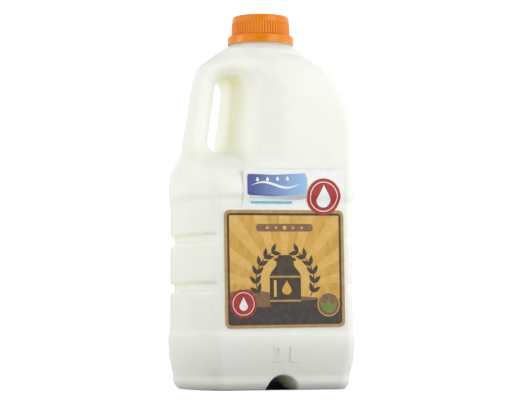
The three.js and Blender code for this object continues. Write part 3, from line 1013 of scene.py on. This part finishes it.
def label_outline(inset):
    """Outline of the whole label, drawn in from its edge."""
    left, right, low, top = drawn_in((LABEL_LEFT, LABEL_RIGHT, LABEL_BOTTOM, LABEL_TOP), inset)
    tab = LABEL_TAB_LEFT + inset
    shoulder = LABEL_SHOULDER - inset
    corners = [(left, low), (right, low), (right, top), (tab, top), (tab, shoulder), (left, shoulder)]
    return rounded(corners, LABEL_CORNER)


def box_outline(left, right, low, high, radius):
    """Upright box with rounded corners."""
    return rounded([(left, low), (right, low), (right, high), (left, high)], radius)


def on_ring(x, z, radius, turn):
    """Point of a circle at an angle from level."""
    return (x + radius * math.cos(turn), z + radius * math.sin(turn))


def disc(x, z, radius, count=56):
    """Circle as an outline."""
    return [on_ring(x, z, radius, turn) for turn in turns(count)]


def scalloped(x, z, radius, depth, lobes, per_lobe=8):
    """Disc with a wavy edge, as on a rosette."""
    angles = turns(lobes * per_lobe)
    radii = radius - depth * (1 - np.abs(np.cos(angles * lobes / 2)))
    return [on_ring(x, z, r, turn) for r, turn in zip(radii, angles)]


def drop(x, z, radius, height, count=40):
    """Milk drop: round below, pointed above."""
    made = []
    for turn in turns(count):
        lift = math.cos(turn)
        width = math.sin(turn) * (1 if lift < 0 else (1 - lift) ** 0.8)
        made.append((x + radius * width, z + (radius if lift < 0 else height) * lift))
    return made[::-1]


def leaf(x, z, turn, length, width, count=10):
    """Pointed leaf that grows from (x, z) in direction turn."""
    along = (math.cos(turn), math.sin(turn))
    side = (-along[1], along[0])
    made = []
    for sign in (-1, 1):
        for i in range(count):
            t = i / count if sign < 0 else 1 - i / count
            bulge = sign * width / 2 * math.sin(math.pi * t ** 0.8)
            made.append(tuple(p + a * t * length + s * bulge for p, a, s in zip((x, z), along, side)))
    return made


def hill(left, right, low, height, swell, phase, count=41):
    """Ground with a gently rolling top edge: a slow wave with a quick one of a third of its height on it."""
    t = np.linspace(1, 0, count)
    roll = np.sin(2 * np.pi * (0.8 * t + phase)) + 0.3 * np.sin(11 * t)
    return [(left, low), (right, low), *zip(left + (right - left) * t, low + height + swell * roll)]


def mirrored(profile, x):
    """Closed outline from half widths and heights, the same on both sides of x."""
    right = [(x + half, z) for half, z in profile]
    left = [(x - half, z) for half, z in reversed(profile)]
    return right + left


def clipped(outline, left, right, low, high):
    """Outline cut down to a box, one side at a time."""
    for axis, limit, sign in ((0, left, 1), (0, right, -1), (1, low, 1), (1, high, -1)):
        kept = []
        for i, here in enumerate(outline):
            before = outline[i - 1]
            a = sign * (before[axis] - limit)
            b = sign * (here[axis] - limit)
            if (a < 0) != (b < 0):
                t = a / (a - b)
                kept.append(tuple(p + (q - p) * t for p, q in zip(before, here)))
            if b >= 0:
                kept.append(here)
        outline = kept
    return outline


class Print:
    """Flat shapes of ink on the label, each in its own thin layer."""

    def __init__(self, first_layer=1):
        self.points = []
        self.faces = []
        self.inks = []
        self.materials = []
        self.layer = first_layer

    def ink(self, name, *tones, make=print_material, **grain):
        """Number of a new ink."""
        self.materials.append(make("ink_" + name, *tones, **grain))
        return len(self.materials) - 1

    def lay(self, ink, *outlines):
        """Adds outlines in the next layer up."""
        y = LABEL_FRONT_Y - PRINT_LAYER * self.layer
        self.layer += 1
        for outline in outlines:
            start = len(self.points)
            self.points += [on_label(x, z, y) for x, z in outline]
            area = sum(a[0] * b[1] - b[0] * a[1] for a, b in zip(outline, outline[1:] + outline[:1]))
            order = list(range(start, start + len(outline)))
            self.faces.append(order if area > 0 else order[::-1])
            self.inks.append(ink)

    def rings(self, inks, place, radii):
        """Discs of different inks on top of each other."""
        for ink, radius in zip(inks, radii):
            self.lay(ink, disc(*place, radius))

    def finish(self, name):
        """Makes the piece and bends it over the step."""
        mesh = new_mesh(name, self.points, self.faces)
        mesh.polygons.foreach_set("material_index", self.inks)
        drape(mesh)
        smooth_by_angle(mesh, SHARP_FILM)
        link(name, mesh, self.materials)


def make_film(material):
    """White label film with softly rounded edges."""
    points = []
    for inset, share in FILM_EDGE:
        y = -HALF_DEPTH - share * LABEL_THICKNESS
        points += [on_label(x, z, y) for x, z in label_outline(inset)]
    count = len(points) // len(FILM_EDGE)
    faces = [face[::-1] for face in turned_faces(len(FILM_EDGE), count)]
    faces.append(list(range(count)))
    faces.append(list(range(len(points) - count, len(points)))[::-1])
    mesh = new_mesh("label_film", points, faces)
    with editing(mesh) as shape:
        bmesh.ops.recalc_face_normals(shape, faces=shape.faces[:])
    drape(mesh)
    smooth_by_angle(mesh, SHARP_FILM)
    piece = link("label_film", mesh, [material])
    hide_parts("label")


def sun_rays(x, z, box):
    """Rays that spread from (x, z) and end at the edge of a box."""
    rays = []
    for middle in np.linspace(*RAY_ARC, RAYS):
        sides = np.radians((middle - RAY_HALF, middle + RAY_HALF))
        far = [on_ring(x, z, RAY_LENGTH, turn) for turn in sides]
        rays.append(clipped([(x, z), *far], *box))
    return rays


def lay_churn(p, x, foot, body, band, sheen, milk):
    """Milk churn seen from the side, in four inks: body with its lid, bands, sheen and a milk drop."""
    profile = [(half * CHURN_SIZE, foot + share * CHURN_SIZE) for half, share in CHURN_BODY + CHURN_LID]
    p.lay(body, mirrored(profile, x))
    bands = []
    for share in CHURN_BAND_HEIGHTS:
        low = foot + CHURN_SIZE * share
        sides = (x - CHURN_BAND_HALF, x + CHURN_BAND_HALF)
        bands.append(box_outline(*sides, low, low + CHURN_BAND_TALL, CHURN_BAND_CORNER))
    p.lay(band, *bands)
    left, right, low, high = SHEEN
    p.lay(sheen, box_outline(x + left, x + right, foot + low, foot + high, SHEEN_CORNER))
    aside, up, radius, height = CHURN_DROP
    p.lay(milk, drop(x + aside, foot + up, radius, height))


def wreath_leaves(x, z, tilt):
    """Leaves of both sprigs that lean off the stem by one angle."""
    leaves = []
    for side, degrees in itertools.product((-1, 1), np.linspace(*WREATH_ARC, WREATH_LEAVES)):
        turn = math.radians(degrees)
        out, height = on_ring(0, z, WREATH_RADIUS, turn)
        lean = turn + math.pi / 2 + math.radians(tilt)
        leaves.append(leaf(x + side * out, height, lean if side > 0 else math.pi - lean, *WREATH_LEAF))
    return leaves


def wreath_stems(x, z):
    """Thin curved stems of both sprigs."""
    angles = np.radians(np.linspace(*STEM_ARC, STEM_POINTS))
    edge = [on_ring(0, z, WREATH_RADIUS + STEM_HALF, turn) for turn in angles]
    edge += [on_ring(0, z, WREATH_RADIUS - STEM_HALF, turn) for turn in angles[::-1]]
    return [[(x + side * out, height) for out, height in edge] for side in (-1, 1)]


def make_panel_print():
    """Main print: gold field in a dark line and a tan frame, hills, sun, churn, sprigs and two badges."""
    p = Print()
    tan = p.ink("tan", (176, 140, 84), (190, 154, 98))
    dark = p.ink("dark", (60, 48, 36), (76, 62, 48))
    gold = p.ink("gold", (202, 154, 62), (218, 172, 82), scale=120, stretch=(3, 1, 1))
    pale = p.ink("pale", (216, 172, 88), (226, 184, 102))
    brown = p.ink("brown", (122, 92, 58), (138, 106, 70))
    soil = p.ink("soil", (58, 52, 48), (74, 66, 62))
    red = p.ink("red", (160, 44, 40), (178, 56, 50))
    white = p.ink("white", (232, 232, 228), (240, 240, 236))
    green = p.ink("green", (112, 132, 58), (132, 150, 74))
    top = LABEL_SHOULDER - FRAME_TOP_GAP
    frame_box = drawn_in((LABEL_LEFT, LABEL_RIGHT, LABEL_BOTTOM, top), PRINT_MARGIN)
    p.lay(tan, box_outline(*frame_box, FRAME_CORNER))
    p.lay(dark, box_outline(*drawn_in(frame_box, LINE_INSET), LINE_CORNER))
    field = drawn_in(frame_box, FIELD_INSET)
    p.lay(gold, box_outline(*field, FIELD_CORNER))
    left, right, low, high = field
    x = 0.5 * (left + right)
    sun_z = low + SUN_HEIGHT
    p.lay(pale, *sun_rays(x, sun_z, field))
    p.lay(gold, clipped(disc(x, sun_z, SUN_EDGE_RADIUS), *field))
    p.lay(pale, clipped(disc(x, sun_z, SUN_RADIUS), *field))
    p.lay(brown, hill(left, right, low, *FAR_HILL))
    p.lay(soil, hill(left, right, low, *NEAR_HILL))
    foot = low + CHURN_FOOT
    lay_churn(p, x, foot, dark, tan, pale, gold)
    for tilt in WREATH_TILTS:
        p.lay(dark, *wreath_leaves(x, foot + WREATH_HEIGHT, tilt))
    p.lay(dark, *wreath_stems(x, foot + WREATH_HEIGHT))
    bar_z = high - BAR_DROP
    bar = (x - BAR_HALF_WIDE, x + BAR_HALF_WIDE, bar_z - BAR_HALF_TALL, bar_z + BAR_HALF_TALL)
    p.lay(brown, box_outline(*bar, BAR_HALF_TALL))
    dots = []
    for i in range(-2, 3):
        dots.append(disc(x + DOT_STEP * i, bar_z, DOT_RADIUS if i else DOT_MIDDLE_RADIUS, DOT_POINTS))
    p.lay(pale, *dots)
    rosette = (left + ROSETTE_PLACE[0], low + ROSETTE_PLACE[1])
    p.lay(red, scalloped(*rosette, ROSETTE_RADIUS, ROSETTE_WAVE, ROSETTE_LOBES))
    p.rings((white, red), rosette, ROSETTE_RING)
    p.lay(white, drop(rosette[0], rosette[1] - ROSETTE_DROP_SINK, *ROSETTE_DROP))
    badge = (right - BADGE_PLACE[0], low + BADGE_PLACE[1])
    p.rings((pale, brown), badge, BADGE_RING)
    for turn in BADGE_LEAF_TURNS:
        p.lay(green, leaf(badge[0], badge[1] - BADGE_LEAF_SINK, math.radians(turn), *BADGE_LEAF))
    p.finish("label_print")


def wave_outline():
    """Rising wave that is thickest in its middle and pointed at both ends."""
    t = np.linspace(0, 1, WAVE_POINTS)
    x = WAVE_LEFT + WAVE_LENGTH * t
    z = WAVE_HEIGHT + WAVE_SWING * np.sin(WAVE_TURNS * t) + WAVE_CLIMB * t
    half = WAVE_HALF * np.sin(np.pi * t)
    return [*zip(x, z - half), *zip(x[::-1], (z + half)[::-1])]


def make_tab_print():
    """Print on the white tab: a blue fading band with a wave and drops, a bar, and a drop on a red disc."""
    p = Print(TAB_FIRST_LAYER)
    grey = p.ink("grey", (222, 224, 226), (186, 190, 194), *TAB_SHADOW_FADE, make=fade_material)
    blue = p.ink("blue", (52, 70, 146), (150, 190, 232), *TAB_BAND_FADE, make=fade_material)
    cyan = p.ink("cyan", (96, 186, 222), (118, 198, 228))
    white = p.ink("tab_white", (236, 238, 240), (242, 243, 244))
    red = p.ink("disc_red", (164, 48, 44), (182, 58, 52))
    deep = p.ink("disc_deep", (120, 34, 32), (136, 42, 38))
    p.lay(grey, rounded(TAB_SHADOW, TAB_SHADOW_CORNER))
    p.lay(blue, rounded(TAB_BAND, TAB_BAND_CORNER))
    p.lay(white, wave_outline())
    drops = []
    for i in range(TAB_DROPS):
        x, z = (first + step * i for first, step in zip(TAB_DROP_FIRST, TAB_DROP_STEP))
        drops.append(drop(x, z, *TAB_DROP, TAB_DROP_POINTS))
    p.lay(white, *drops)
    p.lay(cyan, box_outline(*TAB_BAR, TAB_BAR_CORNER))
    p.rings((red, white, red), DISC_PLACE, DISC_RADII)
    p.lay(deep, drop(*DISC_DROP_SHADOW))
    p.lay(white, drop(*DISC_DROP))
    p.finish("label_tab_print")


def make_mark(material):
    """Raised capacity mark, laid on the curve of the lower bumper."""
    words = bpy.data.curves.new("capacity_mark", "FONT")
    words.body = MARK_TEXT
    words.size = MARK_TEXT_SIZE
    words.align_x = "CENTER"
    words.extrude = MARK_EXTRUDE
    words.bevel_depth = MARK_BEVEL
    words.bevel_resolution = 2
    carrier = placed("capacity_mark_text", words)
    bpy.context.view_layer.update()
    mesh = bpy.data.meshes.new_from_object(carrier.evaluated_get(bpy.context.evaluated_depsgraph_get()))
    bpy.data.objects.remove(carrier)
    with editing(mesh) as shape:
        cut_across(shape, (0, 1, 0), [MARK_HEIGHT * share for share in MARK_CUTS])
        for vert in shape.verts:
            x = MARK_CENTRE_X + vert.co.x
            z = MARK_CENTRE_Z - MARK_HEIGHT / 2 + vert.co.y
            y = -HALF_DEPTH - float(stand_out(z)) - MARK_RELIEF + MARK_FRONT - vert.co.z
            vert.co = Vector((x, y, z)) * MM
        bmesh.ops.recalc_face_normals(shape, faces=shape.faces[:])
    smooth_by_angle(mesh, SHARP_MARK)
    give(mesh, "recess", np.full(len(mesh.vertices), MARK_RECESS))
    link("capacity_mark", mesh, [material])


def stage_plane(name, corners, faces, near, far):
    """Flat piece of the studio floor with a faintly uneven paper tone, times a tone that changes away from
    the jug; a darker near tone is painted shade.
    """
    mesh = new_mesh(name, corners, faces)
    m = Nodes(bpy.data.materials.new(name))
    away = m.add("ShaderNodeVectorMath", {0: m.place()}, operation="LENGTH").outputs["Value"]
    tone = m.ramp(m.spread(away, 0.0, 1.0, *FLOOR_FADE), [(0.0, (near,) * 3), (1.0, (far,) * 3)])
    paper = m.ramp(m.noise(14, 3), [(0.3, (0.97,) * 3), (0.7, (1, 1, 1))])
    m.put("Base Color", m.multiply(tone, paper))
    m.put("Roughness", 0.9)
    mesh.materials.append(m.owner)
    plane = placed(name, mesh)
    return plane, m


def make_floor():
    """White floor round the foot, over an underlay that sets how much light comes back up; the underlay is
    painted darker near the jug as shade.
    """
    far = FLOOR_REACH
    outer = [(0, -far), (far, -far), (far, far), (0, far)]
    half = outer + list(FOOTPRINT[::-1]) + [(x, -y) for x, y in FOOTPRINT]
    corners = [(side * x, y, 0) for side in (1, -1) for x, y in half]
    faces = [list(range(len(half))), list(range(len(half), 2 * len(half)))[::-1]]
    floor, paper = stage_plane("floor", corners, faces, *FLOOR_TONES)
    paper.put("Emission Color", (1, 1, 1, 1))
    paper.put("Emission Strength", FLOOR_GLOW)
    floor.visible_diffuse = False
    floor.visible_shadow = False
    below = [(x, y, -UNDERLAY_DROP) for x, y in ((-far, -far), (far, -far), (far, far), (-far, far))]
    # Underlay with painted shade: dark near the jug, pale further away
    stage_plane("floor_underlay", below, [(0, 1, 2, 3)], *UNDERLAY_TONES)


def softbox(name, azimuth, height, distance, width, tall, power, colour):
    """Area light at an azimuth round the jug, 0 in front and 90 on the right, aimed at its middle."""
    lamp = bpy.data.lights.new(name, "AREA")
    lamp.shape = "RECTANGLE"
    lamp.size = width
    lamp.size_y = tall
    lamp.energy = power
    lamp.color = colour
    light = placed(name, lamp)
    turn = math.radians(azimuth)
    light.location = (distance * math.sin(turn), -distance * math.cos(turn), height)
    aim = Vector(SOFTBOX_AIM) - light.location
    light.rotation_mode = "QUATERNION"
    light.rotation_quaternion = aim.to_track_quat("-Z", "Y")


def make_world():
    """White surround, brightest level with the jug, dark round the camera and darker behind the jug.

    Where the camera sees the surround itself, it is plain white.
    """
    w = Nodes(bpy.data.worlds.new("studio"), "Background")
    bpy.context.scene.world = w.owner
    outward = w.add("ShaderNodeTexCoord").outputs["Generated"]
    sky = w.ramp(w.axis(outward, "Z"), [(height, (tone,) * 3) for height, tone in SKY])
    stretch = {0: outward, 1: (1, 1, OPENING_STRETCH)}
    flattened = w.add("ShaderNodeVectorMath", stretch, operation="MULTIPLY").outputs["Vector"]
    heading = w.add("ShaderNodeVectorMath", {0: flattened}, operation="NORMALIZE").outputs["Vector"]
    turn = math.radians(CAMERA_TURN)
    along = {0: heading, 1: (-math.sin(turn), -math.cos(turn), OPENING_HEIGHT)}
    facing = w.add("ShaderNodeVectorMath", along, operation="DOT_PRODUCT").outputs["Value"]
    tones = {0: w.spread(facing, 1.0, OPENING_TONE, *OPENING), 1: w.spread(facing, 1.0, BACK_TONE, *BACK)}
    shade = w.add("ShaderNodeMath", tones, operation="MULTIPLY").outputs["Value"]
    lit = w.add("ShaderNodeVectorMath", {0: sky, "Scale": shade}, operation="SCALE").outputs["Vector"]
    seen = w.add("ShaderNodeLightPath").outputs["Is Camera Ray"]
    inputs = {MIX_FACTOR: seen, MIX_A: lit, MIX_B: (1, 1, 1, 1)}
    w.put("Color", w.add("ShaderNodeMix", inputs, data_type="RGBA").outputs[MIX_RESULT])
    w.put("Strength", SKY_STRENGTH)


def make_camera():
    """Camera at the place and with the lens that the photograph was taken with."""
    lens = bpy.data.cameras.new("camera")
    lens.lens = CAMERA_LENS
    lens.sensor_width = CAMERA_SENSOR
    lens.clip_start, lens.clip_end = CAMERA_CLIP
    camera = placed("camera", lens)
    turn = math.radians(CAMERA_TURN)
    away = -CAMERA_DISTANCE * MM
    camera.location = (away * math.sin(turn), away * math.cos(turn), CAMERA_HEIGHT * MM)
    yaw = math.radians(CAMERA_AIM_LEFT - CAMERA_TURN)
    camera.rotation_euler = (math.radians(90 + CAMERA_PITCH), 0, yaw)
    bpy.context.scene.camera = camera


make_camera()
make_jug(jug_material("jug_plastic", SKIN_SCATTER, RECESS_SCATTER))
make_mark(jug_material("mark_plastic", MARK_SCATTER, MARK_SCATTER))
orange = cap_material()
make_cap(orange)
make_band(orange)
make_film(print_material("film_white", (240, 241, 238), (245, 246, 243)))
make_panel_print()
make_tab_print()

make_floor()
make_world()
for name, settings in SOFTBOXES.items():
    softbox(name, *settings)
bpy.context.scene.view_settings.view_transform = "Standard"
